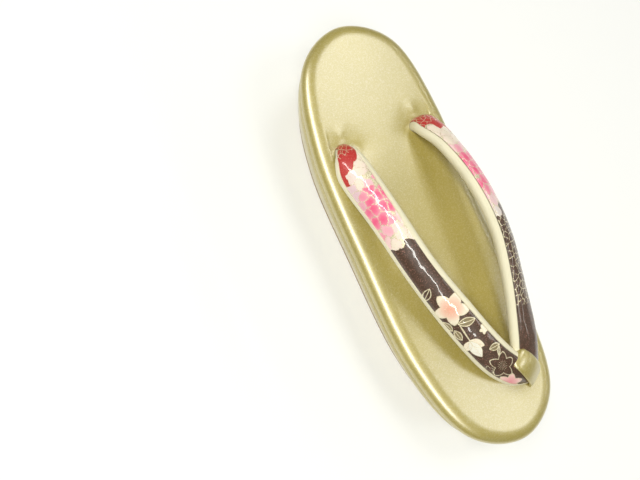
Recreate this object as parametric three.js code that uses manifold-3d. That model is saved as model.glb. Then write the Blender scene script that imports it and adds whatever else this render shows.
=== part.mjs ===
// A zori: a flat-soled sandal with a padded, leatherette-wrapped sole and two padded
// cloth straps that meet under a small loop at the toes. One sandal, millimetres, +Z up,
// toes towards -Y, the foot's inner side towards +X, origin under the middle of the sole.
import * as THREE from 'three';
import { ParametricGeometry } from 'three/addons/geometries/ParametricGeometry.js';
import { mergeVertices } from 'three/addons/utils/BufferGeometryUtils.js';
import Module from 'manifold-3d';

// Sole sizes
const soleLength = 240;
const soleWidth = 82.7;
const toeHeight = 35.5;
const heelHeight = 45.4;
const footbedDip = 5.8;
const padThickness = 10;
const shoulderRadius = 5;
const seamCrease = 1.6;
const outsoleThickness = 4;
const outsoleSetBack = 0.8;
const bottomTaper = 5.2;
const toeSpring = 4.7;
const springLength = 60;

// Strap sizes
const strapWidth = 18.4;
const strapThickness = 8.3;
const strapSquareness = 0.95;
const strapRise = 18.2;
const lateralBow = 14.3;
const medialBow = 9.7;
const strapHoleSpacing = 50;
const strapHoleFromHeel = 65.8;
const strapDepth = 12;
const strapOverlap = 3;
const coverThickness = 1.2;
const liningEdge = 2.2;

// Front loop sizes
const loopFromToe = 36.2;
const loopSideways = 12.3;
const loopTurn = 30;
const loopWidth = 10;
const loopOffset = 0.7;
const loopWall = 1.4;
const loopPost = 9;
const loopDepth = 14;

// Air left between pieces that touch on the real sandal
const fit = 0.3;

// Fineness of the curved faces
const pointsRoundSole = 64;
const pointsRoundStrap = 16;
const ringsPerStrapRow = 2;

// The sole's outline, a row for each section from toe to heel. Along is a share of the
// length, middle and width are shares of the width; middle is where the section's centre
// lies sideways, so the outline has the slight curve of a right foot.
const outlineRows = [
  { along: 0.000, middle: 0.030, width: 0.000 },
  { along: 0.067, middle: 0.018, width: 0.694 },
  { along: 0.250, middle: -0.003, width: 0.962 },
  { along: 0.500, middle: -0.010, width: 0.981 },
  { along: 0.750, middle: 0.011, width: 0.978 },
  { along: 0.933, middle: 0.032, width: 0.706 },
  { along: 1.000, middle: 0.030, width: 0.000 },
];

// The straps, a row for each section from the hole beside the heel to the loop.
// Along is a share of the way from hole to loop, bow a share of that strap's bow outwards,
// rise a share of strapRise above the footbed, width a share of strapWidth. Tilt is how far
// the outer edge leans down and facing how far it is turned towards the toes, in degrees.
const lateralRows = [
  { along: 0.000, bow: 0.00, rise: 0.00, tilt: 0, facing: 9, width: 0.52 },
  { along: 0.028, bow: 0.22, rise: 0.27, tilt: 5, facing: 14, width: 0.84 },
  { along: 0.115, bow: 0.46, rise: 0.47, tilt: 27, facing: 2, width: 1.01 },
  { along: 0.290, bow: 0.76, rise: 0.82, tilt: 35, facing: 6, width: 0.94 },
  { along: 0.485, bow: 1.02, rise: 0.98, tilt: 35, facing: 12, width: 0.92 },
  { along: 0.680, bow: 1.00, rise: 0.90, tilt: 35, facing: 18, width: 1.00 },
  { along: 0.855, bow: 0.87, rise: 0.78, tilt: 29, facing: 30, width: 1.01 },
  { along: 0.955, bow: 0.54, rise: 0.61, tilt: 30, facing: 65, width: 1.08 },
  { along: 1.000, bow: 0.12, rise: 0.50, tilt: 32, facing: 96, width: 1.22 },
];
const medialRows = [
  { along: 0.000, bow: 0.00, rise: 0.00, tilt: 0, facing: -2, width: 0.80 },
  { along: 0.028, bow: 0.02, rise: 0.24, tilt: 6, facing: -1, width: 0.88 },
  { along: 0.120, bow: 0.39, rise: 0.58, tilt: 28, facing: -4, width: 0.97 },
  { along: 0.297, bow: 0.82, rise: 0.94, tilt: 34, facing: 0, width: 0.96 },
  { along: 0.495, bow: 1.02, rise: 1.04, tilt: 35, facing: 7, width: 0.96 },
  { along: 0.692, bow: 0.78, rise: 0.93, tilt: 31, facing: 11, width: 1.00 },
  { along: 0.870, bow: 0.40, rise: 0.77, tilt: 20, facing: 15, width: 1.04 },
  { along: 0.945, bow: 0.27, rise: 0.60, tilt: 22, facing: 30, width: 1.11 },
  { along: 0.985, bow: 0.22, rise: 0.52, tilt: 30, facing: 46, width: 1.20 },
];

const wasm = await Module();
wasm.setup();

// A closed three.js geometry as a solid, with doubled points merged and faces outwards
function solid(geometry) {
  const bare = geometry.clone();
  bare.deleteAttribute('normal');
  bare.deleteAttribute('uv');
  const merged = mergeVertices(bare, 1e-4);
  const position = merged.attributes.position.array;
  const index = merged.index.array;
  const corner = (i) => new THREE.Vector3().fromArray(position, 3 * i);
  const kept = [];
  let volume = 0;
  for (let t = 0; t < index.length; t += 3) {
    const [a, b, c] = [index[t], index[t + 1], index[t + 2]];
    if (a === b || b === c || c === a) continue;
    kept.push(a, b, c);
    volume += corner(a).dot(corner(b).cross(corner(c)));
  }
  if (volume < 0) kept.reverse();
  return new wasm.Manifold(new wasm.Mesh({
    numProp: 3,
    vertProperties: Float32Array.from(position),
    triVerts: Uint32Array.from(kept),
  }));
}

// A solid as a named mesh with its material
function piece(name, form, color, roughness, metalness) {
  const mesh = form.getMesh();
  const geometry = new THREE.BufferGeometry();
  geometry.setAttribute('position', new THREE.BufferAttribute(mesh.vertProperties, 3));
  geometry.setIndex(new THREE.BufferAttribute(mesh.triVerts, 1));
  geometry.computeVertexNormals();
  const material = new THREE.MeshStandardMaterial({ color, roughness, metalness });
  const result = new THREE.Mesh(geometry, material);
  result.name = name;
  return result;
}

// A skin over rings of points, closed at both ends to the middle of its end rings
function skin(rings) {
  const middle = (ring) => {
    const sum = new THREE.Vector3();
    for (const point of ring) sum.add(point);
    return sum.divideScalar(ring.length);
  };
  const first = rings[0];
  const last = rings[rings.length - 1];
  const around = first.length;
  const all = [first.map(() => middle(first)), ...rings, last.map(() => middle(last))];
  const along = all.length - 1;
  const place = (u, v, target) => {
    const ring = all[Math.round(v * along)];
    target.copy(ring[Math.round(u * around) % around]);
  };
  return new ParametricGeometry(place, around, along);
}

// Height of the footbed, dipped between toe and heel
function footbed(y) {
  const share = y / soleLength + 0.5;
  const slope = toeHeight + (heelHeight - toeHeight) * share;
  return slope - 4 * footbedDip * share * (1 - share);
}

// Height of the underside, flat but for the spring under the toes
function underside(y) {
  const forward = (springLength - soleLength / 2 - y) / springLength;
  return toeSpring * Math.max(0, forward) ** 2;
}

// The sole's outline as one smooth closed curve
function soleOutline() {
  const points = [];
  const place = (row, side) => new THREE.Vector3(
    (row.middle + side * row.width / 2) * soleWidth,
    (row.along - 0.5) * soleLength,
    0,
  );
  for (const row of outlineRows) points.push(place(row, -1));
  for (const row of outlineRows.slice(1, -1).reverse()) points.push(place(row, 1));
  return new THREE.CatmullRomCurve3(points, true, 'catmullrom', 0.5);
}
const outline = soleOutline();

// A ring of the outline, set in by a length and then drawn towards the middle by a share
function soleRing(inset, share, height) {
  const ring = [];
  for (let i = 0; i < pointsRoundSole; i += 1) {
    const u = i / pointsRoundSole;
    const point = outline.getPoint(u);
    const ahead = outline.getTangent(u);
    point.x += inset * ahead.y;
    point.y -= inset * ahead.x;
    point.multiplyScalar(share);
    point.z = height(point.y);
    ring.push(point);
  }
  return ring;
}

// Shares at which the broad faces are ringed, so that they follow the dip of the footbed
const faceShares = [0.3, 0.6, 0.85];

// A broad face from its middle out to the rim, or from the rim in
function faceRings(inset, height, outwards) {
  const shares = outwards ? faceShares : [...faceShares].reverse();
  return shares.map((share) => soleRing(inset, share, height));
}

// The rubber outsole, a thin sheet just inside the wrapped body
function outsoleForm() {
  const inset = bottomTaper + outsoleSetBack;
  const bottom = (y) => underside(y);
  const top = (y) => underside(y) + outsoleThickness;
  return solid(skin([
    ...faceRings(inset, bottom, true),
    soleRing(inset + outsoleSetBack, 1, bottom),
    soleRing(inset, 1, (y) => bottom(y) + outsoleSetBack),
    soleRing(inset, 1, top),
    ...faceRings(inset, top, false),
  ]));
}

// The wrapped body under the pad, wider at the top than on the ground, its wall in rows:
// up is a share of the wall's height, inset a share of bottomTaper
const wallRows = [
  { up: 0.00, inset: 1.12 },
  { up: 0.06, inset: 0.96 },
  { up: 0.35, inset: 0.60 },
  { up: 0.65, inset: 0.30 },
  { up: 0.88, inset: 0.14 },
  { up: 1.00, inset: 0.34 },
];
function bodyForm() {
  const bottom = (y) => underside(y) + outsoleThickness + fit;
  const top = (y) => footbed(y) - padThickness - fit;
  const walls = wallRows.map((row) => {
    const height = (y) => bottom(y) + (top(y) - bottom(y)) * row.up;
    return soleRing(row.inset * bottomTaper, 1, height);
  });
  return solid(skin([
    ...faceRings(bottomTaper, bottom, true),
    ...walls,
    ...faceRings(0, top, false),
  ]));
}

// The cushioned pad that makes the footbed, its side in rows: up is a share of the side's
// height, inset a share of seamCrease; a rolled shoulder lies above, ringed at these degrees
const padSideRows = [
  { up: 0.00, inset: 1.00 },
  { up: 0.30, inset: 0.35 },
  { up: 0.75, inset: 0.00 },
];
const shoulderTurns = [8, 36, 63, 90];
function padForm() {
  const side = padThickness - shoulderRadius;
  const rings = faceRings(0, (y) => footbed(y) - padThickness, true);
  for (const row of padSideRows) {
    const height = (y) => footbed(y) - padThickness + side * row.up;
    rings.push(soleRing(seamCrease * row.inset, 1, height));
  }
  for (const degrees of shoulderTurns) {
    const turn = THREE.MathUtils.degToRad(degrees);
    const inset = shoulderRadius * (1 - Math.cos(turn));
    const drop = shoulderRadius * (1 - Math.sin(turn));
    rings.push(soleRing(inset, 1, (y) => footbed(y) - drop));
  }
  rings.push(...faceRings(shoulderRadius, footbed, false));
  return solid(skin(rings));
}

// Where the straps start and meet
const loopPlace = new THREE.Vector2(loopSideways, loopFromToe - soleLength / 2);
const holePlace = (side) => new THREE.Vector2(
  side * strapHoleSpacing / 2,
  soleLength / 2 - strapHoleFromHeel,
);
const loopAhead = new THREE.Vector2(0, -1)
  .rotateAround(new THREE.Vector2(), THREE.MathUtils.degToRad(loopTurn));
const loopAcross = new THREE.Vector2(-loopAhead.y, loopAhead.x);

// The sections of one strap: centre, direction to the outer edge, face normal and width.
// Side is -1 for the lateral strap and 1 for the medial one.
function strapSections(side) {
  const rows = side < 0 ? lateralRows : medialRows;
  const bow = side < 0 ? lateralBow : medialBow;
  const start = holePlace(side);
  const chord = loopPlace.clone().sub(start);
  const outwards = new THREE.Vector2(-chord.y, chord.x).normalize().multiplyScalar(side);
  const centres = [];
  const shapes = [];
  for (const depth of [strapDepth, strapDepth / 2]) {
    centres.push(new THREE.Vector3(start.x, start.y, footbed(start.y) - depth));
    shapes.push(new THREE.Vector3(rows[0].tilt, rows[0].facing, rows[0].width));
  }
  for (const row of rows) {
    const spot = start.clone().addScaledVector(chord, row.along);
    spot.addScaledVector(outwards, row.bow * bow);
    const height = footbed(spot.y) + row.rise * strapRise;
    centres.push(new THREE.Vector3(spot.x, spot.y, height));
    shapes.push(new THREE.Vector3(row.tilt, row.facing, row.width));
  }
  const path = new THREE.CatmullRomCurve3(centres, false, 'catmullrom', 0.5);
  const form = new THREE.CatmullRomCurve3(shapes, false, 'catmullrom', 0.5);
  const count = (centres.length - 1) * ringsPerStrapRow;
  const sections = [];
  for (let i = 0; i <= count; i += 1) {
    const shape = form.getPoint(i / count);
    const tilt = THREE.MathUtils.degToRad(shape.x);
    const facing = THREE.MathUtils.degToRad(shape.y);
    const outer = new THREE.Vector3(
      side * Math.cos(tilt) * Math.cos(facing),
      -Math.cos(tilt) * Math.sin(facing),
      -Math.sin(tilt),
    );
    const tangent = path.getTangent(i / count);
    const level = Math.hypot(tangent.x, tangent.y);
    const onwards = new THREE.Vector3(side * -Math.sin(facing), -Math.cos(facing), 0);
    onwards.multiplyScalar(level).setZ(tangent.z);
    const face = outer.clone().cross(onwards).multiplyScalar(-side).normalize();
    const width = shape.z * strapWidth;
    sections.push({ centre: path.getPoint(i / count), outer, face, width });
  }
  return sections;
}

// A ring of one section: spots are pairs of shares of its half width and half thickness
function sectionRing(section, spots) {
  return spots.map(([across, up]) => section.centre.clone()
    .addScaledVector(section.outer, across)
    .addScaledVector(section.face, up));
}

// Carries a strap's end rings on, down its hole and, inside the loop, into the other strap
function withEnds(rings, side, down, on) {
  const last = rings[rings.length - 1];
  const outer = last[0].clone().sub(last[last.length / 2 - 1]);
  const onwards = outer.cross(new THREE.Vector3(0, 0, side)).normalize().multiplyScalar(on);
  const lower = rings[0].map((point) => point.clone().add(new THREE.Vector3(0, 0, -down)));
  const upper = last.map((point) => point.clone().add(onwards));
  return [lower, ...rings, upper];
}

// A turn round the padded section as shares of its half width and half thickness; the
// section is a round drawn a little towards a rectangle by strapSquareness
function padded(turn) {
  const drawn = (share) => Math.sign(share) * Math.abs(share) ** strapSquareness;
  return [drawn(Math.cos(turn)), drawn(Math.sin(turn))];
}

// One padded strap, grown on all sides by a length where it cuts its neighbours
function strapForm(side, grow) {
  const rings = strapSections(side).map((section) => {
    const spots = [];
    for (let i = 0; i < pointsRoundStrap; i += 1) {
      const [across, up] = padded((2 * Math.PI * i) / pointsRoundStrap);
      spots.push([across * (section.width / 2 + grow), up * (strapThickness / 2 + grow)]);
    }
    return sectionRing(section, spots);
  });
  return solid(skin(withEnds(rings, side, grow, strapOverlap + grow)));
}

// The layer over one strap's face where the printed cover lies, from just above the strap
// down to the cover's underside; extra widens and deepens it to make the lining's recess
function coverLayer(side, extra) {
  const steps = pointsRoundStrap / 2;
  const rings = strapSections(side).map((section) => {
    const half = section.width / 2;
    const reach = (half - liningEdge + extra) / half;
    const limit = Math.acos(reach ** (1 / strapSquareness));
    const under = coverThickness + extra;
    const spots = [];
    for (let i = 0; i < steps; i += 1) {
      const [across, up] = padded(limit + ((Math.PI - 2 * limit) * i) / (steps - 1));
      spots.push([half * across, (strapThickness / 2 + under) * up]);
    }
    for (let i = steps - 1; i >= 0; i -= 1) {
      const [across, up] = padded(limit + ((Math.PI - 2 * limit) * i) / (steps - 1));
      spots.push([half * across, (strapThickness / 2) * up - under]);
    }
    return sectionRing(section, spots);
  });
  return solid(skin(withEnds(rings, side, fit + extra, strapOverlap + fit + extra)));
}

// Both straps as one form, joined where they meet
const bothStraps = (grow) => strapForm(-1, grow).add(strapForm(1, grow));
const bothCovers = (extra) => coverLayer(-1, extra).add(coverLayer(1, extra));

// The largest body of a solid, without the slivers that a cut can leave
function mainBody(form) {
  const bodies = form.decompose();
  bodies.sort((a, b) => b.volume() - a.volume());
  return bodies[0];
}

// The front loop before the straps are cut out of it: a band round the straps' meeting
// point with a post down into the sole, in its own upright plane. The post starts inside the
// band, at postTop as a share of its middle's height.
const postTop = 0.5;
function loopForm(grow) {
  const end = lateralRows[lateralRows.length - 1];
  const tilt = THREE.MathUtils.degToRad(end.tilt);
  const long = (end.width * strapWidth) / 2 + loopWall + grow;
  const thick = strapThickness / 2 + loopWall + grow;
  const top = footbed(loopPlace.y);
  const band = new THREE.Shape();
  band.absellipse(0, end.rise * strapRise, long, thick, 0, 2 * Math.PI, false, -tilt);
  const front = long * Math.cos(tilt) - loopWall;
  const post = new THREE.Shape();
  post.moveTo(front - loopPost - grow * 2, -loopDepth - grow);
  post.lineTo(front, -loopDepth - grow);
  post.lineTo(front, end.rise * strapRise * postTop);
  post.lineTo(front - loopPost - grow * 2, end.rise * strapRise * postTop);
  const depth = loopWidth + 2 * grow;
  const settings = { depth, bevelEnabled: false, curveSegments: pointsRoundStrap };
  const place = new THREE.Matrix4().makeBasis(
    new THREE.Vector3(loopAhead.x, loopAhead.y, 0),
    new THREE.Vector3(0, 0, 1),
    new THREE.Vector3(-loopAcross.x, -loopAcross.y, 0),
  );
  const start = loopPlace.clone().addScaledVector(loopAcross, depth / 2 - loopOffset);
  place.setPosition(start.x, start.y, top);
  const parts = [band, post].map((shape) => {
    const geometry = new THREE.ExtrudeGeometry(shape, settings);
    return solid(geometry.applyMatrix4(place));
  });
  return parts[0].add(parts[1]);
}

const straps = bothStraps(0);
const strapRoom = bothStraps(fit);
const loopRoom = loopForm(fit);
const sandal = new THREE.Group();
const gold = '#cdbd7d';

sandal.add(piece('outsole', outsoleForm(), '#6d5a3f', 0.9, 0));
sandal.add(piece('sole_body', bodyForm().subtract(strapRoom).subtract(loopRoom), gold, 0.45, 0.4));
sandal.add(piece('top_pad', padForm().subtract(strapRoom).subtract(loopRoom), gold, 0.45, 0.4));
sandal.add(piece('strap_lining', mainBody(straps.subtract(bothCovers(fit))), '#efe6c4', 0.8, 0));
sandal.add(piece('strap_cover', mainBody(straps.intersect(bothCovers(0))), '#3a1f1f', 0.2, 0));
sandal.add(piece('front_loop', mainBody(loopForm(0).subtract(strapRoom)), '#c9b678', 0.4, 0.4));

export default sandal;
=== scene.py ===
"""A zori sandal: gold leatherette sole with a cushioned footbed and printed padded straps."""
from math import acos, copysign, cos, exp, floor, hypot, pi, radians, sin

import bmesh
import bpy
from mathutils import Matrix, Vector


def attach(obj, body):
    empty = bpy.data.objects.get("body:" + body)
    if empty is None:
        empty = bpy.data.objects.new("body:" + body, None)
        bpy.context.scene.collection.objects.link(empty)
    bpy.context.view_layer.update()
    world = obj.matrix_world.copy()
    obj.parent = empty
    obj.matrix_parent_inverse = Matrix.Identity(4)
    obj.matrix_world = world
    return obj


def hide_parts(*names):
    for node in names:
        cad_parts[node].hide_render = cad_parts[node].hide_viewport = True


bl_info = {
    "name": "Zori sandal",
    "version": (1, 0, 0),
    "blender": (4, 5, 0),
    "location": "View3D > Sidebar > Zori",
    "description": "Builds a padded zori sandal around its frame",
    "category": "Object",
}

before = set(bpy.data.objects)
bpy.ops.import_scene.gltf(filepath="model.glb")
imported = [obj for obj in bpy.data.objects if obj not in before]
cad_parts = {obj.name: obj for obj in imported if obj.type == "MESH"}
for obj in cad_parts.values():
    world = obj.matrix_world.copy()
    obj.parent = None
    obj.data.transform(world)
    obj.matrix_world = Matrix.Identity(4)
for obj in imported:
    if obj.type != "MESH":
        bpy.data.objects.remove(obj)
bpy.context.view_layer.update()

# The sole's outline, toe to heel: share of the length, then middle and width as shares of
# the width
OUTLINE_ROWS = (
    (0.000, 0.030, 0.000),
    (0.067, 0.018, 0.694),
    (0.250, -0.003, 0.962),
    (0.500, -0.010, 0.981),
    (0.750, 0.011, 0.978),
    (0.933, 0.032, 0.706),
    (1.000, 0.030, 0.000),
)
# The body's wall, ground to seam: share of the height, inset as a share of the taper
WALL_ROWS = ((0.00, 1.12), (0.06, 0.96), (0.35, 0.60), (0.65, 0.30), (0.88, 0.14), (1.00, 0.34))
# The straps, hole to loop: along, bow, rise, tilt and facing in degrees, width
LATERAL_ROWS = (
    (0.000, 0.00, 0.00, 0, 9, 0.52),
    (0.028, 0.22, 0.27, 5, 14, 0.84),
    (0.115, 0.46, 0.47, 27, 2, 1.01),
    (0.290, 0.76, 0.82, 35, 6, 0.94),
    (0.485, 1.02, 0.98, 35, 12, 0.92),
    (0.680, 1.00, 0.90, 35, 18, 1.00),
    (0.855, 0.87, 0.78, 29, 30, 1.01),
    (0.955, 0.54, 0.61, 30, 65, 1.08),
    (1.000, 0.12, 0.50, 32, 96, 1.22),
)
MEDIAL_ROWS = (
    (0.000, 0.00, 0.00, 0, -2, 0.80),
    (0.028, 0.02, 0.24, 6, -1, 0.88),
    (0.120, 0.39, 0.58, 28, -4, 0.97),
    (0.297, 0.82, 0.94, 34, 0, 0.96),
    (0.495, 1.02, 1.04, 35, 7, 0.96),
    (0.692, 0.78, 0.93, 31, 11, 1.00),
    (0.870, 0.40, 0.77, 20, 15, 1.04),
    (0.945, 0.27, 0.60, 22, 30, 1.11),
    (0.985, 0.22, 0.52, 30, 46, 1.20),
)
STRAP_MAP = "strap"
# Where the inner strap starts on the strap map, in millimetres
MEDIAL_START = 300.0
MM = 0.001
# Edges that bend more than this are shown sharp
SHARP = radians(50)
# The least share of its faces that a piece keeps when a room is cut
KEPT = 0.8
# Spots round a section of lining, cover and the straps' rooms in the sole
LINING_SPOTS = 48
COVER_SPOTS = 54
ROOM_SPOTS = 64
# How far up each strap the rooms go, in millimetres
ROOM_RUN = 7
# A coarse sole form, enough to read the footbed's height from
COARSE = 8
# Print: petals per millimetre along and across, and how far they are bent, in millimetres
PETALS = (0.185, 0.205)
WARP = 1.6
# Width over which the print's lines and fills fade, in millimetres
LINE_FADE = 0.10
FILL_FADE = 0.12
# Each lamp's name, place, size, power and the spot it faces
LAMPS = (
    ("heel light", (0.76, 0.50, 1.65), (0.7, 0.7), 6.2, (0, 0.02, 0.03)),
    ("toe light", (0.80, -0.76, 1.60), (0.6, 0.6), 4.8, (0, 0, 0.03)),
    ("left tube", (-0.80, 0.0, 1.57), (0.15, 2.8), 34, (0, 0.0, 0.03)),
    ("right tube", (1.75, -0.35, 1.0), (0.03, 2.6), 5, (0, -0.35, 0.03)),
    ("overhead", (-0.52, 0.10, 1.90), (1.2, 1.2), 2, (0, 0, 0.03)),
)
LAMP_COLOUR = (1.0, 1.0, 0.95)
SKY = (1, 0.995, 0.975)
# The camera's right and the way back from what it looks at
CAMERA_RIGHT = (0.8798, -0.4183, 0.2257)
CAMERA_BACK = (-0.2840, -0.0819, 0.9553)


def length(name, description, default):
    return bpy.props.FloatProperty(
        name=name, description=description, default=default, min=0, unit="LENGTH", precision=4
    )


def colour(name, description, default):
    return bpy.props.FloatVectorProperty(
        name=name, description=description, default=default, subtype="COLOR", min=0, max=1
    )


class ZoriSole(bpy.types.PropertyGroup):
    length: length("Length", "Sole from toe to heel", 0.240)
    width: length("Width", "Sole at its widest", 0.0827)
    toe_height: length("Toe height", "Footbed above the ground at the toe", 0.0355)
    heel_height: length("Heel height", "Footbed above the ground at the heel", 0.0454)
    dip: length("Dip", "How far the footbed sags between toe and heel", 0.0058)
    pad: length("Pad", "Thickness of the cushioned pad", 0.010)
    shoulder: length("Shoulder", "Height of the pad's rolled edge", 0.005)
    soft_edge: length("Soft edge", "How far in from its edge the pad starts to roll down", 0.0085)
    crease: length("Crease", "Depth of the seam between pad and body", 0.0016)
    outsole: length("Outsole", "Thickness of the rubber outsole", 0.004)
    set_back: length("Set-back", "Outsole inside the body's lower edge", 0.0008)
    taper: length("Taper", "How far the body draws in towards the ground", 0.0052)
    spring: length("Toe spring", "Lift of the toe off the ground", 0.0047)
    spring_length: length("Spring length", "Length of the lifted part", 0.060)
    gold: colour("Gold", "Leatherette", (0.43, 0.345, 0.056))
    rubber: colour("Rubber", "Outsole", (0.34, 0.26, 0.15))


class ZoriStrap(bpy.types.PropertyGroup):
    width: length("Width", "Strap from edge to edge", 0.0184)
    thickness: length("Thickness", "Padded strap", 0.0083)
    squareness: bpy.props.FloatProperty(
        name="Squareness", description="1 is a plain round section, less is squarer", default=0.95
    )
    rise: length("Rise", "Top of the arch above the footbed", 0.0182)
    lateral_bow: length("Outer bow", "Bow of the strap on the foot's outer side", 0.0143)
    medial_bow: length("Inner bow", "Bow of the strap on the foot's inner side", 0.0097)
    spacing: length("Hole spacing", "Between the two rear holes", 0.0500)
    from_heel: length("From heel", "Rear holes from the heel", 0.0658)
    depth: length("Depth", "How far the straps go into the sole", 0.012)
    cover: length("Cover", "Thickness of the printed cover", 0.0012)
    lining_edge: length("Piping", "Lining showing beside the cover", 0.0022)
    cream: colour("Cream", "Lining", (0.86, 0.80, 0.58))
    dark: colour("Dark ground", "Print's ground", (0.072, 0.037, 0.020))
    red: colour("Red", "Print's red", (0.52, 0.035, 0.030))
    pink: colour("Pink", "Print's chrysanthemum", (0.86, 0.10, 0.24))
    gold: colour("Gold outline", "Print's outlines", (0.72, 0.58, 0.30))


class ZoriLoop(bpy.types.PropertyGroup):
    from_toe: length("From toe", "Loop's middle from the toe", 0.0362)
    sideways: length("Sideways", "Loop from the sole's middle", 0.0123)
    turn: bpy.props.FloatProperty(
        name="Turn", description="Band's turn from straight ahead", default=radians(30),
        subtype="ANGLE",
    )
    width: length("Width", "Band across", 0.010)
    offset: length("Offset", "Band off the straps' meeting point, outwards", 0.0007)
    wall: length("Wall", "Leatherette round the straps", 0.0014)
    post: length("Post", "Post's length, front to back", 0.009)
    depth: length("Depth", "How far the post goes into the sole", 0.014)
    overlap: length("Overlap", "Straps carried on inside the loop", 0.003)
    clearance: length("Clearance", "Air round straps and loop in the sole", 0.0003)


class ZoriStage(bpy.types.PropertyGroup):
    camera: bpy.props.FloatVectorProperty(
        name="Camera", description="Where the camera stands", subtype="TRANSLATION",
        unit="LENGTH", default=(-0.1194, -0.0008, 0.2490),
    )
    lens: bpy.props.FloatProperty(name="Lens", description="In millimetres", default=25.04)
    floor: colour("Floor", "Plain pale floor", (0.90, 0.90, 0.89))
    surround: bpy.props.FloatProperty(
        name="Surround", description="Strength of the even light from all round", default=0.10
    )


# Smooth curves

def smooth_point(points, share, closed=False):
    """A point on the smooth curve through the points, share running from 0 to 1."""
    count = len(points)
    spans = count if closed else count - 1
    run = share * spans
    start = min(floor(run), spans - 1)
    part = run - start

    def at(i):
        if closed:
            return points[i % count]
        if i < 0:
            return points[0] * 2 - points[1]
        if i >= count:
            return points[-1] * 2 - points[-2]
        return points[i]

    before, here, there, after = (at(start + k) for k in (-1, 0, 1, 2))
    leave = (there - before) * 0.5
    arrive = (after - here) * 0.5
    square = part * part
    cube = square * part
    return (
        here * (2 * cube - 3 * square + 1)
        + leave * (cube - 2 * square + part)
        + there * (3 * square - 2 * cube)
        + arrive * (cube - square)
    )


def ease(value, low, high):
    """0 below low, 1 above high and smooth between."""
    part = min(max((value - low) / (high - low), 0.0), 1.0)
    return part * part * (3 - 2 * part)


# The sole's forms

class SoleForm:
    """The outline and heights that outsole, body and pad share."""

    def __init__(self, sole, around):
        self.sole = sole
        points = [self.row_point(row, -1) for row in OUTLINE_ROWS]
        points += [self.row_point(row, 1) for row in reversed(OUTLINE_ROWS[1:-1])]
        self.edge = []
        step = 0.002
        for i in range(around):
            here = smooth_point(points, i / around, True)
            ahead = smooth_point(points, (i / around + step) % 1, True)
            behind = smooth_point(points, (i / around - step) % 1, True)
            along = (ahead - behind).normalized()
            self.edge.append((here, Vector((along.y, -along.x, 0))))

    def row_point(self, row, side):
        along, middle, width = row
        x = (middle + side * width / 2) * self.sole.width
        return Vector((x, (along - 0.5) * self.sole.length, 0))

    def footbed(self, y):
        sole = self.sole
        share = y / sole.length + 0.5
        slope = sole.toe_height + (sole.heel_height - sole.toe_height) * share
        return slope - 4 * sole.dip * share * (1 - share)

    def underside(self, y):
        sole = self.sole
        forward = (sole.spring_length - sole.length / 2 - y) / sole.spring_length
        return sole.spring * max(0, forward) ** 2

    def ring(self, inset, share, height):
        """The outline set in by a length and drawn to the middle by a share."""
        made = []
        for here, inwards in self.edge:
            spot = (here + inwards * inset) * share
            spot.z = height(spot.x, spot.y)
            made.append(spot)
        return made

    def disc(self, inset, count, height, outwards):
        """Rings from the middle out to the set-in outline, or back to the middle."""
        steps = [i / count for i in range(count)]
        if not outwards:
            steps.reverse()
        return [self.ring(inset, share, height) for share in steps]


def close_ends(rings):
    """The rings with the first and last drawn to their middles."""
    first, last = (
        [sum(ring, Vector()) / len(ring)] * len(ring) for ring in (rings[0], rings[-1])
    )
    return [first, *rings, last]


def skin(name, rings, chart=None):
    """A closed skin: a grid sheet laid over rings of points, rolled up and sewn together."""
    around = len(rings[0])
    along = len(rings) - 1
    form = bmesh.new()
    charted = form.loops.layers.uv.new(STRAP_MAP)
    bmesh.ops.create_grid(form, x_segments=around, y_segments=along, size=0.5, calc_uvs=True)
    if chart:
        for face in form.faces:
            for corner in face.loops:
                spot = round((corner.vert.co.x + 0.5) * around)
                ring = round((corner.vert.co.y + 0.5) * along)
                corner[charted].uv = chart(ring, spot)
    for vert in form.verts:
        spot = round((vert.co.x + 0.5) * around) % around
        vert.co = rings[round((vert.co.y + 0.5) * along)][spot]
    bmesh.ops.remove_doubles(form, verts=form.verts, dist=0.000002)
    bmesh.ops.dissolve_degenerate(form, edges=form.edges, dist=0.000002)
    return finish_form(name, form)


def mark_sharp(form):
    for edge in form.edges:
        if edge.calc_face_angle(0) > SHARP:
            edge.smooth = False


def finish_form(name, form):
    """The object that a bmesh becomes, smooth but for its sharp edges."""
    bmesh.ops.recalc_face_normals(form, faces=form.faces)
    for face in form.faces:
        face.smooth = True
    mark_sharp(form)
    mesh = bpy.data.meshes.new(name)
    form.to_mesh(mesh)
    form.free()
    made = bpy.data.objects.new(name, mesh)
    bpy.context.scene.collection.objects.link(made)
    return made


def cut(piece, cutters):
    """Takes the cutters' room out of a piece and removes them."""
    for cutter in cutters:
        faces = len(piece.data.polygons)
        change = piece.modifiers.new("room", "BOOLEAN")
        change.operation = "DIFFERENCE"
        change.solver = "MANIFOLD"
        change.object = cutter
        settled = piece.evaluated_get(bpy.context.evaluated_depsgraph_get())
        mesh = bpy.data.meshes.new_from_object(settled)
        piece.modifiers.clear()
        piece.data = mesh
        bpy.data.objects.remove(cutter)
        if len(mesh.polygons) < faces * KEPT:
            raise RuntimeError("cutting a room broke " + piece.name)
    form = bmesh.new()
    form.from_mesh(mesh)
    mark_sharp(form)
    form.to_mesh(mesh)
    form.free()


def join(name, pieces):
    """One object of several, in one mesh."""
    form = bmesh.new()
    for piece in pieces:
        form.from_mesh(piece.data)
        bpy.data.objects.remove(piece)
    return finish_form(name, form)


def settle(piece, node, material):
    piece.data.materials.clear()
    piece.data.materials.append(material)
    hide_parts(node)
    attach(piece, "root")


# The straps' forms

def hole_place(sole, strap, side):
    return Vector((side * strap.spacing / 2, sole.length / 2 - strap.from_heel, 0))


def loop_place(sole, loop):
    return Vector((loop.sideways, loop.from_toe - sole.length / 2, 0))


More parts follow.
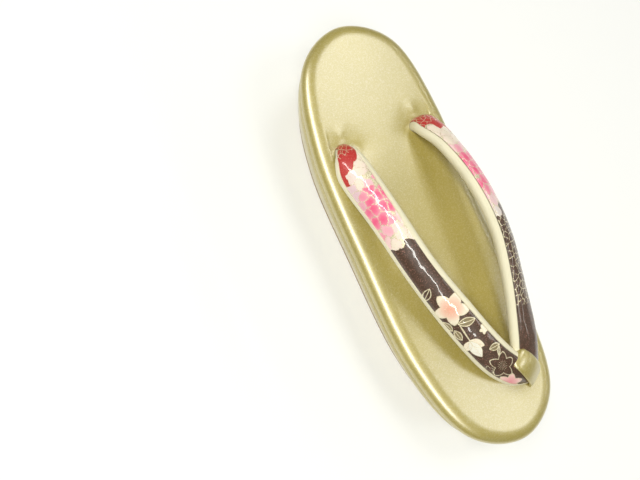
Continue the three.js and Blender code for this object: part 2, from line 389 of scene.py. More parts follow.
class StrapForm:
    """The sections of one strap; side is -1 for the foot's outer side and 1 for its inner."""

    def __init__(self, form, strap, loop, side, count):
        sole = form.sole
        rows = LATERAL_ROWS if side < 0 else MEDIAL_ROWS
        bow = strap.lateral_bow if side < 0 else strap.medial_bow
        start = hole_place(sole, strap, side)
        chord = loop_place(sole, loop) - start
        outwards = Vector((-chord.y, chord.x, 0)).normalized() * side
        centres = []
        shapes = []
        for depth in (strap.depth, strap.depth / 2):
            centres.append(Vector((start.x, start.y, form.footbed(start.y) - depth)))
            shapes.append(Vector((rows[0][3], rows[0][4], rows[0][5])))
        for along, bowed, rise, tilt, facing, width in rows:
            spot = start + chord * along + outwards * bowed * bow
            spot.z = form.footbed(spot.y) + rise * strap.rise
            centres.append(spot)
            shapes.append(Vector((tilt, facing, width)))
        self.strap = strap
        self.loop = loop
        self.side = side
        self.sections = []
        for i in range(count + 1):
            self.sections.append(self.section(centres, shapes, i / count))
        self.measure(form.footbed(start.y))

    def section(self, centres, shapes, share):
        """One section: its middle, the ways to its outer edge and its face, its width."""
        tilt, facing, width = smooth_point(shapes, share)
        tilt = radians(tilt)
        facing = radians(facing)
        outer = Vector((
            self.side * cos(tilt) * cos(facing),
            -cos(tilt) * sin(facing),
            -sin(tilt),
        ))
        ahead = smooth_point(centres, min(share + 0.001, 1))
        behind = smooth_point(centres, max(share - 0.001, 0))
        way = (ahead - behind).normalized()
        level = hypot(way.x, way.y)
        onwards = Vector((-self.side * sin(facing) * level, -cos(facing) * level, way.z))
        face = (outer.cross(onwards) * -self.side).normalized()
        return smooth_point(centres, share), outer, face, width * self.strap.width

    def measure(self, ground):
        """How far each section lies along the strap from the footbed, in millimetres."""
        self.runs = [0.0]
        for before, after in zip(self.sections, self.sections[1:]):
            self.runs.append(self.runs[-1] + (after[0] - before[0]).length / MM)
        first = next(i for i, made in enumerate(self.sections) if made[0].z > ground)
        start = self.runs[first]
        self.runs = [run - start for run in self.runs]

    def rings(self, outline):
        """Rings through the sections; outline(run, width) gives a section's spots."""
        made = []
        for (centre, outer, face, width), run in zip(self.sections, self.runs):
            made.append([centre + outer * a + face * b for a, b in outline(run, width)])
        last = made[-1]
        outer = self.sections[-1][1]
        onwards = outer.cross(Vector((0, 0, self.side))).normalized()
        made.append([spot + onwards * self.loop.overlap for spot in last])
        return close_ends(made)


def drawn(share, power):
    """A share bent by a power, its sign kept."""
    return copysign(abs(share) ** power, share)


def padded_turn(turn, squareness):
    """A turn round the padded section, as shares of its half width and half thickness."""
    return drawn(cos(turn), squareness), drawn(sin(turn), squareness)


def swell(run, side, seed):
    """The slight unevenness of a stuffed strap, as a share."""
    return (
        0.5 * sin(run * 0.21 + seed + side)
        + 0.3 * sin(run * 0.37 + 2.1 * seed)
        + 0.2 * sin(run * 0.62 + 0.7 * seed + 1.3)
    )


def lining_outline(strap, points):
    """The lining: a padded round with a shallow bed where the cover lies."""
    def outline(run, width):
        half = width / 2
        thick = strap.thickness / 2
        bed = half - strap.lining_edge
        spots = []
        for i in range(points):
            across, up = padded_turn(2 * pi * i / points, strap.squareness)
            across *= half
            up *= thick
            if up > 0:
                up -= strap.cover * 0.9 * ease(bed - abs(across), -0.0002, 0.0006)
            spots.append((across, up))
        return spots
    return outline


def cover_outline(strap, side, points):
    """The cover: a thin padded sheet, rounded at its edges and a little proud of the piping."""
    under = points // 3
    over = points - under

    def outline(run, width):
        half = width / 2
        thick = strap.thickness / 2
        reach = half - strap.lining_edge
        limit = acos((reach / half) ** (1 / strap.squareness))
        proud = 0.00035 + 0.00012 * swell(run, side, 1.0)
        lean = 0.05 * swell(run, side, 2.6)
        spots = []
        for i in range(over):
            turn = limit + (pi - 2 * limit) * i / (over - 1)
            across, up = padded_turn(turn, strap.squareness)
            edge = sin(pi * i / (over - 1)) ** 0.35
            lift = proud * edge * (1 + lean * across)
            spots.append((half * across, thick * up + lift))
        for i in range(under):
            turn = pi - limit - (pi - 2 * limit) * (i + 0.5) / under
            across, up = padded_turn(turn, strap.squareness)
            edge = sin(pi * (i + 0.5) / under) ** 0.35
            spots.append((half * across * 0.995, thick * up - strap.cover * 0.8 * edge))
        return spots
    return outline


# Finishes

class Finish:
    """One material, its nodes made by short calls that give back their output sockets."""

    def __init__(self, name):
        self.material = bpy.data.materials.new(name)
        self.material.use_nodes = True
        self.nodes = self.material.node_tree.nodes
        self.links = self.material.node_tree.links
        self.shader = self.nodes["Principled BSDF"]

    def put(self, socket, value):
        if isinstance(value, bpy.types.NodeSocket):
            self.links.new(value, socket)
        elif value is not None:
            socket.default_value = value

    def node(self, kind, **settings):
        made = self.nodes.new(kind)
        for key, value in settings.items():
            setattr(made, key, value)
        return made

    def place(self):
        return self.node("ShaderNodeTexCoord").outputs["Object"]

    def feed(self, made, values):
        for socket, value in zip(made.inputs, values):
            self.put(socket, value)
        return made.outputs[0]

    def sum(self, operation, *values, clamp=False):
        made = self.node("ShaderNodeMath", operation=operation, use_clamp=clamp)
        return self.feed(made, values)

    def vector(self, operation, *values):
        return self.feed(self.node("ShaderNodeVectorMath", operation=operation), values)

    def plus(self, first, second):
        return self.sum("ADD", first, second)

    def minus(self, first, second):
        return self.sum("SUBTRACT", first, second)

    def times(self, first, second, clamp=False):
        return self.sum("MULTIPLY", first, second, clamp=clamp)

    def over(self, first, second, clamp=False):
        return self.sum("DIVIDE", first, second, clamp=clamp)

    def above(self, value, low, width):
        """0 up to low, rising to 1 over the width."""
        return self.over(self.minus(value, low), width, clamp=True)

    def mix(self, share, first, second):
        made = self.node("ShaderNodeMix", data_type="RGBA")
        self.put(made.inputs[0], share)
        for socket, value in ((made.inputs[6], first), (made.inputs[7], second)):
            self.put(socket, (*value, 1) if isinstance(value, (tuple, list)) else value)
        return made.outputs[2]

    def ramp(self, share, stops):
        made = self.node("ShaderNodeValToRGB")
        self.put(made.inputs[0], share)
        band = made.color_ramp
        while len(band.elements) < len(stops):
            band.elements.new(1.0)
        for stop, (position, tone) in zip(band.elements, stops):
            stop.position = position
            stop.color = (*tone, 1)
        return made.outputs[0]

    def noise(self, place, scale, detail=2.0, output="Fac"):
        made = self.node("ShaderNodeTexNoise")
        self.put(made.inputs["Vector"], place)
        self.put(made.inputs["Scale"], scale)
        self.put(made.inputs["Detail"], detail)
        return made.outputs[output]

    def cells(self, place, scale, feature="F1", flat=False, random=1.0):
        made = self.node(
            "ShaderNodeTexVoronoi", feature=feature,
            voronoi_dimensions="2D" if flat else "3D",
        )
        self.put(made.inputs["Vector"], place)
        self.put(made.inputs["Scale"], scale)
        self.put(made.inputs["Randomness"], random)
        return made.outputs

    def split(self, vector):
        made = self.node("ShaderNodeSeparateXYZ")
        self.put(made.inputs[0], vector)
        return made.outputs

    def bump(self, height, distance, strength=1.0, base=None):
        made = self.node("ShaderNodeBump")
        self.put(made.inputs["Height"], height)
        self.put(made.inputs["Distance"], distance)
        self.put(made.inputs["Strength"], strength)
        self.put(made.inputs["Normal"], base)
        return made.outputs[0]

    def set(self, **values):
        for key, value in values.items():
            socket = self.shader.inputs[key.replace("_", " ").title().replace("Ior", "IOR")]
            if isinstance(value, (tuple, list)):
                value = (*value, 1)
            self.put(socket, value)
        return self.material


def shade(tone, share, lift=0.0):
    return tuple(min(1.0, c * share + lift) for c in tone)


def leatherette(name, gold):
    """Gold leatherette: olive ground, fine grain, tiny flakes and a pale satin gloss."""
    finish = Finish(name)
    place = finish.place()
    flakes = finish.cells(place, 2400.0)["Color"]
    flake = finish.split(flakes)[0]
    cloud = finish.noise(place, 30.0, 3.0)
    fine = finish.noise(place, 1300.0, 2.0)
    tone = finish.mix(cloud, shade(gold, 0.88), shade(gold, 1.14, 0.02))
    spark = finish.times(finish.minus(flake, 0.5), 0.34, clamp=True)
    tone = finish.mix(spark, tone, (1.0, 0.96, 0.80))
    height = finish.plus(finish.times(flake, 0.5), fine)
    rough = finish.plus(finish.times(cloud, 0.08), 0.42)
    return finish.set(
        base_color=tone, metallic=0.30, roughness=rough, specular_ior_level=0.5,
        coat_weight=1.0, coat_roughness=0.30, coat_ior=2.3,
        normal=finish.bump(height, 0.00006, 0.5),
    )


def rubber(name, tone):
    """Brown outsole rubber with a fine non-slip grain."""
    finish = Finish(name)
    place = finish.place()
    grain = finish.cells(place, 620.0, "DISTANCE_TO_EDGE")["Distance"]
    dust = finish.noise(place, 60.0, 4.0)
    tone = finish.mix(finish.times(dust, 0.6), tone, shade(tone, 1.8, 0.02))
    return finish.set(
        base_color=tone, roughness=0.78, specular_ior_level=0.3,
        normal=finish.bump(grain, 0.0003, 0.7),
    )


def lining_cloth(name, cream):
    """Cream lining with a fine weave and a soft sheen."""
    finish = Finish(name)
    place = finish.place()
    weave = finish.noise(place, 1900.0, 1.0)
    crumple = finish.noise(place, 180.0, 2.0)
    tone = finish.mix(finish.noise(place, 90.0, 2.0), shade(cream, 0.86), cream)
    height = finish.plus(finish.times(weave, 0.25), crumple)
    return finish.set(
        base_color=tone, roughness=0.58, specular_ior_level=0.4, sheen_weight=0.25,
        sheen_roughness=0.4, normal=finish.bump(height, 0.00022, 0.5),
    )


class Print:
    """The printed cloth, charted in millimetres along and across the strap."""

    def __init__(self, finish, strap):
        self.finish = finish
        self.gold_line = 0.0
        chart = finish.node("ShaderNodeUVMap", uv_map=STRAP_MAP).outputs[0]
        along, self.across, _ = finish.split(chart)
        self.medial = finish.sum("GREATER_THAN", along, MEDIAL_START - 50)
        self.along = finish.minus(along, finish.times(self.medial, MEDIAL_START))
        self.chart = chart
        self.lateral = finish.minus(1.0, self.medial)
        self.tone = self.grounds(*(tuple(c) for c in (strap.red, strap.pink, strap.dark)))

    def lines(self, distance, half):
        """1 on a line of that half width, fading at its edge."""
        f = self.finish
        return f.minus(1.0, f.above(f.sum("ABSOLUTE", distance), half, LINE_FADE))

    def paint(self, share, tone):
        self.tone = self.finish.mix(share, self.tone, tone)

    def gild(self, line):
        self.gold_line = self.finish.sum("MAXIMUM", self.gold_line, line)

    def band(self, low, high):
        """1 between two places along the strap, fading over a millimetre."""
        f = self.finish
        return f.times(f.above(self.along, low, 1.0), f.above(high, self.along, 1.0))

    def from_spot(self, spot):
        """The ways along and across from a spot on the chart."""
        return (
            self.finish.minus(self.along, spot[0]),
            self.finish.minus(self.across, spot[1]),
        )

    def polar(self, centre, turn):
        """The reach from a centre on the chart and the angle round it."""
        f = self.finish
        ahead, aside = self.from_spot(centre)
        reach = f.sum("SQRT", f.plus(f.times(ahead, ahead), f.times(aside, aside)))
        angle = f.plus(f.sum("ARCTAN2", aside, ahead), radians(turn))
        return reach, angle

    def blossom(self, centre, radius, turn, heart, rim, line=0.16, stamens=True):
        """A blossom of five broad pointed petals with a gold outline."""
        f = self.finish
        reach, angle = self.polar(centre, -turn)
        wave = f.sum("ABSOLUTE", f.sum("COSINE", f.times(angle, 2.5)))
        side = f.sum("ABSOLUTE", f.sum("SINE", f.times(angle, 2.5)))
        lobe = f.minus(f.times(wave, 0.28), f.times(side, 0.15))
        edge = f.times(f.plus(lobe, 0.72), radius)
        depth = f.minus(edge, reach)
        fill = f.times(f.over(depth, FILL_FADE, clamp=True), self.lateral)
        share = f.over(reach, radius * 0.76, clamp=True)
        self.paint(fill, f.mix(f.sum("POWER", share, 1.3), heart, rim))
        outline = self.lines(depth, line)
        if stamens:
            spokes = f.sum("ABSOLUTE", f.sum("SINE", f.times(angle, 7.5)))
            spoke = f.sum("LESS_THAN", spokes, 0.2)
            inside = f.sum("LESS_THAN", share, 0.5)
            outline = f.sum("MAXIMUM", outline, f.times(spoke, inside))
        self.gild(f.times(outline, self.lateral))

    def leaf(self, centre, size, turn, inside=None, line=0.2):
        """A pointed leaf with a gold outline and a middle vein."""
        f = self.finish
        long, wide = size
        ahead, aside = self.from_spot(centre)
        turn = radians(turn)
        run = f.plus(f.times(ahead, cos(turn)), f.times(aside, sin(turn)))
        off = f.minus(f.times(aside, cos(turn)), f.times(ahead, sin(turn)))
        off = f.sum("ABSOLUTE", off)
        share = f.over(run, long / 2)
        bulge = f.minus(1.0, f.times(share, share))
        depth = f.minus(f.times(bulge, wide / 2), off)
        fill = f.times(f.over(depth, FILL_FADE, clamp=True), self.lateral)
        near = f.sum("LESS_THAN", bulge, -0.35)
        outline = f.times(self.lines(depth, line), f.minus(1.0, near))
        vein = f.times(self.lines(off, line * 0.7), fill)
        self.gild(f.times(f.sum("MAXIMUM", outline, vein), self.lateral))
        if inside is not None:
            self.paint(fill, inside)

    def petal_chart(self):
        """The chart counted in petals and gently bent, so that petals differ in shape."""
        f = self.finish
        warp = f.noise(self.chart, 0.32, 1.0, "Color")
        bent = f.vector("MULTIPLY_ADD", warp, (2 * WARP, 2 * WARP, 0), self.chart)
        bent = f.vector("SUBTRACT", bent, (WARP, WARP, 0))
        return f.vector("MULTIPLY", bent, (*PETALS, 1.0))

    def grounds(self, red, pink, dark):
        """Red field, chrysanthemum petals and dark ground, whole petals at each border."""
        f = self.finish
        chart = self.petal_chart()
        petals = f.cells(chart, 1.0, flat=True, random=0.7)
        edges = f.cells(chart, 1.0, "DISTANCE_TO_EDGE", True, 0.7)["Distance"]
        cell_along, cell_across, _ = f.split(petals["Position"])
        cell_along = f.over(cell_along, PETALS[0])
        cell_across = f.over(cell_across, PETALS[1])
        cell_along = f.minus(cell_along, f.times(self.medial, MEDIAL_START))
        cream = (0.88, 0.78, 0.62)
        blush = (0.90, 0.50, 0.56)
        lilac = (0.74, 0.52, 0.58)

        def slanted(lean):
            place = f.plus(cell_along, f.times(cell_across, lean))
            return f.over(place, 100.0, clamp=True)

        near = slanted(-0.9)
        far = slanted(0.25)
        lateral = f.ramp(slanted(-0.6), [
            (0.0, cream), (0.235, cream), (0.27, blush), (0.30, pink), (0.455, pink),
            (0.50, blush), (0.54, cream),
        ])
        medial = f.ramp(slanted(0.0), [
            (0.0, cream), (0.225, cream), (0.26, blush), (0.30, pink), (0.50, pink),
            (0.555, blush), (0.62, (0.80, 0.74, 0.68)),
        ])
        tone = f.mix(self.medial, lateral, medial)
        outer = f.above(cell_across, 2.0, 3.0)
        early = f.above(0.36, near, 0.12)
        outer = f.times(outer, f.times(early, 0.8))
        tone = f.mix(f.times(outer, self.lateral), tone, lilac)
        end = f.plus(0.60, f.times(self.medial, 0.045))
        flowered = f.sum("LESS_THAN", far, end)
        bloom = f.times(flowered, f.sum("GREATER_THAN", near, 0.13))
        rim = f.times(petals["Distance"], 1.5, clamp=True)
        rim = f.times(f.times(rim, rim), 0.5)
        tone = f.mix(rim, tone, (0.93, 0.66, 0.66))
        field = f.mix(flowered, dark, red)
        tone = f.mix(bloom, field, tone)
        self.petal_edges(edges, petals["Distance"], bloom)
        self.red_outlines(flowered, bloom)
        self.crackle()
        return tone

    def petal_edges(self, edges, reach, bloom):
        """Beaded outlines round the petals, widened where petals meet."""
        f = self.finish
        beads = f.cells(self.chart, 2.3, flat=True)["Distance"]
        width = f.minus(0.086, f.times(beads, 0.125))
        line = f.sum("LESS_THAN", edges, width)
        corner = f.sum("GREATER_THAN", reach, f.plus(f.times(beads, 0.16), 0.56))
        line = f.sum("MAXIMUM", line, corner)
        self.gild(f.times(line, bloom))

    def red_outlines(self, flowered, bloom):
        """Thin petal outlines over the red field by the hole."""
        f = self.finish
        field = f.minus(flowered, bloom)
        lines = f.cells(self.chart, 0.42, "DISTANCE_TO_EDGE", True, 0.9)["Distance"]
        thin = f.sum("LESS_THAN", lines, 0.042)
        some = f.sum("LESS_THAN", self.along, f.times(self.across, -0.8))
        some = f.sum("MAXIMUM", some, f.sum("LESS_THAN", self.along, 7.0))
        self.gild(f.times(f.times(thin, some), field))

    def crackle(self):
        """Gold leaf outlines crowded on the inner strap's dark ground."""
        f = self.finish
        lines = f.cells(self.chart, 0.30, "DISTANCE_TO_EDGE", True, 0.95)["Distance"]
        ragged = f.noise(self.chart, 1.3, 2.0)
        width = f.times(f.minus(ragged, 0.36), 0.34)
        thin = f.sum("LESS_THAN", lines, width)
        zone = f.times(self.band(66.0, 113.0), self.medial)
        self.gild(f.times(thin, zone))


def printed_cloth(name, strap):
    """Printed cloth under a thick clear coat."""
    finish = Finish(name)
    design = Print(finish, strap)
    dark = tuple(strap.dark)
    cream = (0.88, 0.78, 0.60)
    peach = (0.86, 0.34, 0.22)
    olive = (0.24, 0.19, 0.09)
    pale = (0.86, 0.83, 0.70)
    rose = (0.74, 0.24, 0.27)
    for centre, size, turn, inside in (
        ((85.0, 4.5), (7.2, 3.6), 58, None),
        ((106.6, -2.4), (8.6, 4.0), -68, olive),
        ((103.5, 6.3), (6.0, 3.0), -6, olive),
        ((109.6, 5.2), (6.0, 3.2), 3, olive),
        ((109.7, 1.8), (8.6, 0.3), 8, None),
    ):
        design.leaf(centre, size, turn, inside)
    design.blossom((96.8, -0.7), 8.7, 26, peach, cream)
    design.blossom((115.2, -6.3), 2.4, 40, cream, cream, stamens=False)
    for centre, size, turn, inside in (
        ((117.8, 0.8), (7.6, 4.2), -32, cream),
        ((116.6, 5.2), (6.0, 3.6), 58, cream),
        ((119.6, 3.2), (9.9, 5.4), 5, pale),
    ):
        design.leaf(centre, size, turn, inside, line=0.05)
    design.leaf((125.4, -4.2), (5.8, 3.2), -63, olive)
    design.leaf((128.3, -4.3), (4.8, 1.3), 47)
    design.blossom((131.2, 6.6), 2.3, 0, dark, dark, 0.06, stamens=False)
    design.blossom((134.6, 0.2), 6.7, 16, dark, dark, 0.2)
    design.blossom((142.6, 6.6), 5.3, 40, rose, (0.86, 0.56, 0.50), stamens=False)
    chart = design.chart
    fleck = finish.split(finish.cells(chart, 3.6, flat=True)["Color"])
    bright = finish.sum("GREATER_THAN", fleck[0], 0.86)
    share = finish.times(bright, finish.times(fleck[1], 0.36))
    design.paint(share, (0.75, 0.34, 0.26))
    gold = finish.mix(fleck[2], shade(strap.gold, 0.75), (1.0, 0.93, 0.70))
    design.paint(design.gold_line, gold)
    wave = finish.noise(chart, 0.13, 1.0)
    cloth = finish.noise(chart, 2.6, 2.0)
    surface = finish.bump(wave, 0.0011, 0.5)
    metal = finish.times(design.gold_line, 0.35)
    return finish.set(
        base_color=design.tone, metallic=metal, roughness=0.42, specular_ior_level=0.5,
        coat_weight=0.7, coat_roughness=0.06,
        normal=finish.bump(cloth, 0.00008, 0.6, surface), coat_normal=surface,
    )


# Sizes that belong together

def sizes(context):
    scene = context.scene
    return scene.zori_sole, scene.zori_strap, scene.zori_loop


def gold_finish(context):
    known = bpy.data.materials.get("gold leatherette")
    return known or leatherette("gold leatherette", tuple(context.scene.zori_sole.gold))


def strap_room(context, side):
    """The room that one strap's lower end needs in the sole."""
    sole, strap, loop = sizes(context)
    form = StrapForm(SoleForm(sole, COARSE), strap, loop, side, 200)
    grow = loop.clearance
    rings = []
    for (centre, outer, face, width), run in zip(form.sections, form.runs):
        if run > ROOM_RUN:
            break
        ring = []
        for i in range(ROOM_SPOTS):
            across, up = padded_turn(2 * pi * i / ROOM_SPOTS, strap.squareness)
            spot = centre + outer * across * (width / 2 + grow)
            ring.append(spot + face * up * (strap.thickness / 2 + grow))
        rings.append(ring)
    rings.insert(0, [spot - Vector((0, 0, grow)) for spot in rings[0]])
    return skin("strap room", close_ends(rings))


def loop_frame(context):
    """The loop's own axes: along the band, up, and across it, from the footbed."""
    sole, strap, loop = sizes(context)
    ahead = Vector((sin(loop.turn), -cos(loop.turn), 0))
    across = Vector((-ahead.y, ahead.x, 0))
    place = loop_place(sole, loop)
    place.z = SoleForm(sole, COARSE).footbed(place.y)
    place -= across * loop.offset
    return Matrix.Translation(place) @ Matrix(
        ((ahead.x, across.x, 0, 0), (ahead.y, across.y, 0, 0), (0, 0, 1, 0), (0, 0, 0, 1))
    )


def loop_post(context, name, grow):
    """The post between band and sole: a block with rounded upright edges."""
    sole, strap, loop = sizes(context)
    end = LATERAL_ROWS[-1]
    reach = (end[5] * strap.width / 2 + loop.wall) * cos(radians(end[3]))
    front = reach - loop.wall + grow
    back = reach - loop.wall - loop.post - grow
    top = end[2] * strap.rise * 0.5
    low = -loop.depth - grow
    form = bmesh.new()
    bmesh.ops.create_cube(form, size=1.0)
    size = Matrix.Diagonal((front - back, loop.width + 2 * grow, top - low, 1))
    middle = Matrix.Translation(((front + back) / 2, 0, (top + low) / 2))
    bmesh.ops.transform(form, matrix=loop_frame(context) @ middle @ size, verts=form.verts)
    upright = [e for e in form.edges if abs((e.verts[0].co - e.verts[1].co).z) > 0.01]
    bmesh.ops.bevel(
        form, geom=upright, offset=0.0022, offset_type="OFFSET", affect="EDGES",
        segments=5, profile=0.5, material=-1, clamp_overlap=True,
    )
    return finish_form(name, form)


def rooms(context):
    clearance = context.scene.zori_loop.clearance
    return [
        strap_room(context, -1), strap_room(context, 1),
        loop_post(context, "post room", clearance),
    ]


def hole_dimples(context):
    """Footbed drawn down round each hole, with a raised pucker behind each strap."""
    sole, strap, loop = sizes(context)
    holes = [hole_place(sole, strap, side) for side in (-1, 1)]
    half = Vector((strap.width / 2, strap.thickness / 2))
    front = loop_frame(context) @ Vector((0.006, 0, 0))

    def away(x, y, hole):
        dx, dy = x - hole.x, y - hole.y
        far = hypot(dx, dy)
        if far < 1e-6:
            return 0.0
        edge = half.x * half.y / hypot(half.y * dx / far, half.x * dy / far)
        return max(0.0, far - edge)

    def dent(x, y):
        lift = 0.0
        for hole, side in zip(holes, (-1, 1)):
            gap = away(x, y, hole) / MM
            if gap < 25:
                lift -= 0.3 * exp(-((gap / 2.2) ** 2)) + 0.5 * exp(-((gap / 7) ** 2))
            run = (y - hole.y - strap.thickness / 2) / MM
            off = (x - hole.x) / MM + side * (1.0 + 0.15 * run)
            fade = ease(run, 0.0, 4.0) * (1 - ease(run, 4.0, 12.0))
            lift += 0.4 * exp(-((off / 3.0) ** 2)) * fade
            lift -= 0.1 * exp(-(((abs(off) - 5.6) / 2.8) ** 2)) * fade
        gap = hypot(x - front.x, y - front.y) / MM
        lift -= 0.7 * exp(-((gap / 7.5) ** 2))
        return lift * MM
    return dent


# Operators

class ZORI_OT_outsole(bpy.types.Operator):
    """Make the rubber outsole"""

    bl_idname = "zori.outsole"
    bl_label = "Outsole"

    def execute(self, context):
        sole = context.scene.zori_sole
        form = SoleForm(sole, 160)
        inset = sole.taper + sole.set_back

        def level(up):
            return lambda x, y: form.underside(y) + up

        rings = form.disc(inset + sole.set_back, 24, level(0), True)
        for turn in (0, 30, 60, 90):
            drop = sole.set_back * (1 - sin(radians(turn)))
            set_in = sole.set_back * (1 - cos(radians(90 - turn)))
            rings.append(form.ring(inset + set_in, 1, level(sole.set_back - drop)))
        rings.append(form.ring(inset, 1, level(sole.outsole)))
        rings += form.disc(inset, 24, level(sole.outsole), False)
        made = skin("rubber_outsole", rings)
        settle(made, "outsole", rubber("brown rubber", tuple(sole.rubber)))
        return {"FINISHED"}


class ZORI_OT_body(bpy.types.Operator):
    """Make the wrapped body of the sole"""

    bl_idname = "zori.body"
    bl_label = "Sole body"

    def execute(self, context):
        sole = context.scene.zori_sole
        form = SoleForm(sole, 256)
        gap = context.scene.zori_loop.clearance

        def low(y):
            return form.underside(y) + sole.outsole + gap

        def high(y):
            return form.footbed(y) - sole.pad - gap

        rings = form.disc(sole.taper, 20, lambda x, y: low(y), True)
        wall = [Vector((up, inset, 0)) for up, inset in WALL_ROWS]
        for i in range(31):
            up, inset, _ = smooth_point(wall, i / 30)
            rings.append(form.ring(
                inset * sole.taper, 1, lambda x, y, up=up: low(y) + (high(y) - low(y)) * up
            ))
        rings += form.disc(WALL_ROWS[-1][1] * sole.taper, 40, lambda x, y: high(y), False)
        made = skin("leatherette_body", rings)
        cut(made, rooms(context))
        settle(made, "sole_body", gold_finish(context))
        return {"FINISHED"}


class ZORI_OT_pad(bpy.types.Operator):
    """Make the cushioned pad"""

    bl_idname = "zori.pad"
    bl_label = "Top pad"

    def execute(self, context):
        sole = context.scene.zori_sole
        form = SoleForm(sole, 400)
        dent = hole_dimples(context)
        side = sole.pad - sole.shoulder

        def level(drop):
            return lambda x, y: form.footbed(y) - drop

        rings = form.disc(sole.crease, 24, level(sole.pad), True)
        for i in range(9):
            part = i / 9
            inset = sole.crease * (1 - sin(part * pi / 2))
            rings.append(form.ring(inset, 1, level(sole.pad - side * part)))
        for i in range(17):
            turn = radians(90 * i / 16)
            inset = sole.soft_edge * (1 - cos(turn))
            rings.append(form.ring(inset, 1, level(sole.shoulder * (1 - sin(turn)))))
        rings += form.disc(
            sole.soft_edge, 84, lambda x, y: form.footbed(y) + dent(x, y), False
        )
        made = skin("footbed_pad", rings)
        cut(made, rooms(context))
        settle(made, "top_pad", gold_finish(context))
        return {"FINISHED"}


class ZORI_OT_straps(bpy.types.Operator):
    """Make both straps: the padded lining and the printed cover"""

    bl_idname = "zori.straps"
    bl_label = "Straps"

    def execute(self, context):
        sole, strap, loop = sizes(context)
        ground = SoleForm(sole, COARSE)
        linings = []
        covers = []
        for side in (-1, 1):
            form = StrapForm(ground, strap, loop, side, 260)
            outline = lining_outline(strap, LINING_SPOTS)
            linings.append(skin("lining", form.rings(outline)))
            fine = StrapForm(ground, strap, loop, side, 420)
            rings = fine.rings(cover_outline(strap, side, COVER_SPOTS))
            start = MEDIAL_START if side > 0 else 0.0
            runs = [fine.runs[0], *fine.runs, fine.runs[-1] + 3, fine.runs[-1] + 3]

            def chart(ring, spot, rings=rings, fine=fine, start=start, runs=runs):
                section = fine.sections[min(max(ring - 1, 0), len(fine.sections) - 1)]
                place = rings[min(max(ring, 1), len(rings) - 2)][spot % COVER_SPOTS]
                return start + runs[ring], (place - section[0]).dot(section[1]) / MM

            covers.append(skin("cover", rings, chart))
        lining = join("strap_lining_cloth", linings)
        cover = join("strap_print", covers)
        settle(
            lining, "strap_lining", lining_cloth("cream lining", tuple(strap.cream))
        )
        settle(cover, "strap_cover", printed_cloth("printed cloth", strap))
        return {"FINISHED"}


class ZORI_OT_loop(bpy.types.Operator):
    """Make the front loop with its post"""

    bl_idname = "zori.loop"
    bl_label = "Front loop"

    def execute(self, context):
        sole, strap, loop = sizes(context)
        end = LATERAL_ROWS[-1]
        tilt = radians(end[3])
        long = end[5] * strap.width / 2 + loop.wall / 2
        thick = strap.thickness / 2 + loop.wall / 2
        own = loop_frame(context) @ Matrix.Translation((0, 0, end[2] * strap.rise))
        own = own @ Matrix.Rotation(tilt, 4, "Y")
        rings = []
        for j in range(97):
            turn = 2 * pi * j / 96
            middle = Vector((long * cos(turn), 0, thick * sin(turn)))
            out = Vector((cos(turn) / long, 0, sin(turn) / thick)).normalized()
            half = loop.width / 2 * (1 + 0.18 * max(0.0, sin(turn)))
            ring = []
            for i in range(24):
                spin = 2 * pi * i / 24
                flat = drawn(cos(spin), 0.35)
                high = drawn(sin(spin), 0.8)
                crown = 0.0005 * (1 - flat * flat)
                spot = middle + Vector((0, half * flat, 0))
                spot += out * (high * loop.wall / 2 + (crown if high > 0 else 0))
                ring.append(own @ spot)
            rings.append(ring)
        band = skin("band", rings)
        made = join("toe_loop", [band, loop_post(context, "post", 0.0)])
        settle(made, "front_loop", gold_finish(context))
        return {"FINISHED"}


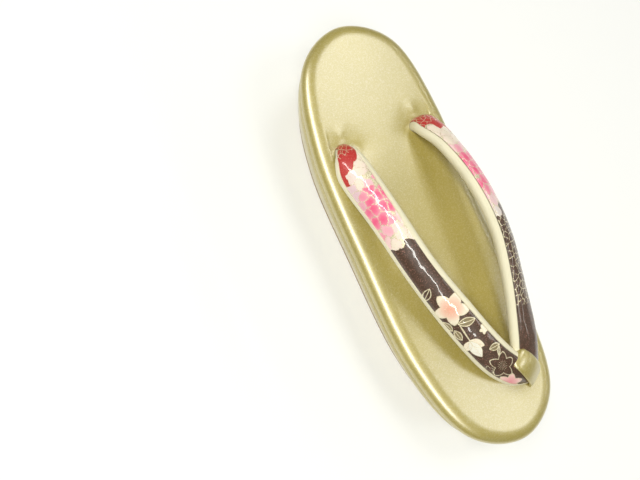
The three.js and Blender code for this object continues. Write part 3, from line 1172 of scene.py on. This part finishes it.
class ZORI_OT_stage(bpy.types.Operator):
    """Make the floor, the light and the camera"""

    bl_idname = "zori.stage"
    bl_label = "Stage"

    def execute(self, context):
        stage = context.scene.zori_stage
        form = bmesh.new()
        bmesh.ops.create_grid(form, x_segments=1, y_segments=1, size=3.0)
        ground = finish_form("floor", form)
        finish = Finish("pale floor")
        ground.data.materials.append(finish.set(base_color=tuple(stage.floor), roughness=0.9))
        world = bpy.data.worlds.new("even light")
        world.use_nodes = True
        sky = world.node_tree.nodes["Background"].inputs
        sky["Color"].default_value = (*SKY, 1)
        sky["Strength"].default_value = stage.surround
        context.scene.world = world
        for lamp in LAMPS:
            self.lamp(context, *lamp)
        bpy.data.objects["overhead"].visible_glossy = False
        self.camera(context, stage)
        context.scene.view_settings.view_transform = "Standard"
        return {"FINISHED"}

    def lamp(self, context, name, place, size, power, aim):
        data = bpy.data.lights.new(name, "AREA")
        data.shape = "RECTANGLE"
        data.size, data.size_y = size
        data.energy = power
        data.color = LAMP_COLOUR
        lamp = bpy.data.objects.new(name, data)
        towards = Vector(aim) - Vector(place)
        side = Vector((0, 1, 0)).cross(-towards).normalized()
        back = -towards.normalized()
        up = back.cross(side)
        turn = Matrix((side, up, back)).transposed().to_4x4()
        lamp.matrix_world = Matrix.Translation(place) @ turn
        context.scene.collection.objects.link(lamp)

    def camera(self, context, stage):
        data = bpy.data.cameras.new("camera")
        data.lens = stage.lens
        data.sensor_width = 36
        data.sensor_fit = "HORIZONTAL"
        data.clip_start = 0.01
        camera = bpy.data.objects.new("camera", data)
        right = Vector(CAMERA_RIGHT).normalized()
        back = Vector(CAMERA_BACK).normalized()
        up = back.cross(right).normalized()
        right = up.cross(back)
        turn = Matrix((right, up, back)).transposed().to_4x4()
        camera.matrix_world = Matrix.Translation(stage.camera) @ turn
        context.scene.collection.objects.link(camera)
        context.scene.camera = camera


class ZORI_PT_panel(bpy.types.Panel):
    """Sizes, colours and steps of the zori"""

    bl_idname = "ZORI_PT_panel"
    bl_label = "Zori sandal"
    bl_space_type = "VIEW_3D"
    bl_region_type = "UI"
    bl_category = "Zori"

    def draw(self, context):
        layout = self.layout
        for title, name, _ in GROUPS:
            box = layout.box()
            box.label(text=title)
            group = getattr(context.scene, name)
            for key in group.__annotations__:
                box.prop(group, key)
        for step in STEPS:
            layout.operator(step)


GROUPS = (
    ("Sole", "zori_sole", ZoriSole),
    ("Straps", "zori_strap", ZoriStrap),
    ("Front loop", "zori_loop", ZoriLoop),
    ("Stage", "zori_stage", ZoriStage),
)
STEPS = (
    "zori.outsole", "zori.body", "zori.pad", "zori.straps", "zori.loop", "zori.stage",
)
CLASSES = (
    ZoriSole, ZoriStrap, ZoriLoop, ZoriStage,
    ZORI_OT_outsole, ZORI_OT_body, ZORI_OT_pad, ZORI_OT_straps, ZORI_OT_loop, ZORI_OT_stage,
    ZORI_PT_panel,
)


def register():
    for made in CLASSES:
        bpy.utils.register_class(made)
    for _, name, group in GROUPS:
        setattr(bpy.types.Scene, name, bpy.props.PointerProperty(type=group))


def unregister():
    for _, name, _ in GROUPS:
        delattr(bpy.types.Scene, name)
    for made in reversed(CLASSES):
        bpy.utils.unregister_class(made)


def main():
    register()
    bpy.ops.zori.outsole()
    bpy.ops.zori.body()
    bpy.ops.zori.pad()
    bpy.ops.zori.straps()
    bpy.ops.zori.loop()
    bpy.ops.zori.stage()


if __name__ == "__main__":
    main()
